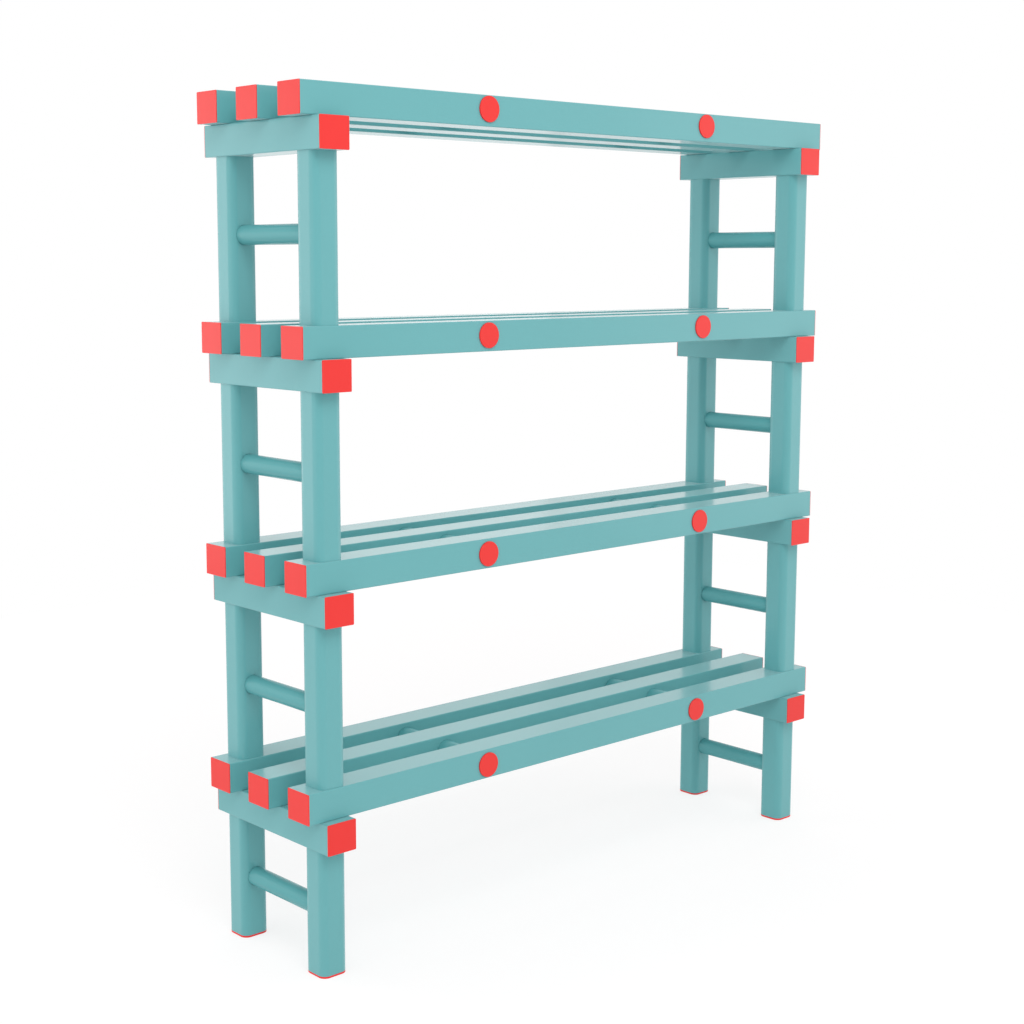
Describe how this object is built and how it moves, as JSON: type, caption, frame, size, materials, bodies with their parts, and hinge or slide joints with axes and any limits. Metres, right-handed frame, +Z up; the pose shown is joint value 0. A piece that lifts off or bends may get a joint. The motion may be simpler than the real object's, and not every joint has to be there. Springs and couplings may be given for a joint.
{
  "type": "plastic shelving unit",
  "caption": "Slot-together plastic storage rack: slatted shelf tiers on cross bearers and rounded legs, with rungs at the ends and red caps on every bar end.",
  "frame": {"origin": "on the floor, under the middle of the unit", "axes": "+X along the shelves to the viewer's right, +Y from the front to the back, +Z up"},
  "size_m": [1.509, 0.372, 1.6816],
  "materials": {
    "teal_plastic": "satin moulded and extruded plastic, teal all through",
    "red_plastic": "satin moulded plastic, coral red"
  },
  "bodies": {
    "tier_1": {"tier_1_front_slat": "teal_plastic", "tier_1_middle_slat": "teal_plastic", "tier_1_back_slat": "teal_plastic", "tier_1_left_bearer": "teal_plastic", "tier_1_right_bearer": "teal_plastic", "tier_1_front_left_leg": "teal_plastic", "tier_1_front_right_leg": "teal_plastic", "tier_1_back_left_leg": "teal_plastic", "tier_1_back_right_leg": "teal_plastic", "tier_1_rungs": "teal_plastic", "tier_1_spacer_rods": "teal_plastic", "tier_1_slat_end_caps": "red_plastic", "tier_1_bearer_end_caps": "red_plastic", "tier_1_rod_caps": "red_plastic", "tier_1_leg_connectors": "teal_plastic", "tier_1_foot_caps": "red_plastic"},
    "tier_2": {"tier_2_front_slat": "teal_plastic", "tier_2_middle_slat": "teal_plastic", "tier_2_back_slat": "teal_plastic", "tier_2_left_bearer": "teal_plastic", "tier_2_right_bearer": "teal_plastic", "tier_2_front_left_leg": "teal_plastic", "tier_2_front_right_leg": "teal_plastic", "tier_2_back_left_leg": "teal_plastic", "tier_2_back_right_leg": "teal_plastic", "tier_2_rungs": "teal_plastic", "tier_2_spacer_rods": "teal_plastic", "tier_2_slat_end_caps": "red_plastic", "tier_2_bearer_end_caps": "red_plastic", "tier_2_rod_caps": "red_plastic", "tier_2_leg_connectors": "teal_plastic"},
    "tier_3": {"tier_3_front_slat": "teal_plastic", "tier_3_middle_slat": "teal_plastic", "tier_3_back_slat": "teal_plastic", "tier_3_left_bearer": "teal_plastic", "tier_3_right_bearer": "teal_plastic", "tier_3_front_left_leg": "teal_plastic", "tier_3_front_right_leg": "teal_plastic", "tier_3_back_left_leg": "teal_plastic", "tier_3_back_right_leg": "teal_plastic", "tier_3_rungs": "teal_plastic", "tier_3_spacer_rods": "teal_plastic", "tier_3_slat_end_caps": "red_plastic", "tier_3_bearer_end_caps": "red_plastic", "tier_3_rod_caps": "red_plastic", "tier_3_leg_connectors": "teal_plastic"},
    "tier_4": {"tier_4_front_slat": "teal_plastic", "tier_4_middle_slat": "teal_plastic", "tier_4_back_slat": "teal_plastic", "tier_4_left_bearer": "teal_plastic", "tier_4_right_bearer": "teal_plastic", "tier_4_front_left_leg": "teal_plastic", "tier_4_front_right_leg": "teal_plastic", "tier_4_back_left_leg": "teal_plastic", "tier_4_back_right_leg": "teal_plastic", "tier_4_rungs": "teal_plastic", "tier_4_spacer_rods": "teal_plastic", "tier_4_slat_end_caps": "red_plastic", "tier_4_bearer_end_caps": "red_plastic", "tier_4_rod_caps": "red_plastic"}
  },
  "joints": [
    {"name": "tier_2_lift", "type": "slide", "parent": "tier_1", "child": "tier_2", "axis": [0, 0, 1], "range_m": [0, 0.06]},
    {"name": "tier_3_lift", "type": "slide", "parent": "tier_2", "child": "tier_3", "axis": [0, 0, 1], "range_m": [0, 0.06]},
    {"name": "tier_4_lift", "type": "slide", "parent": "tier_3", "child": "tier_4", "axis": [0, 0, 1], "range_m": [0, 0.06]}
  ]
}
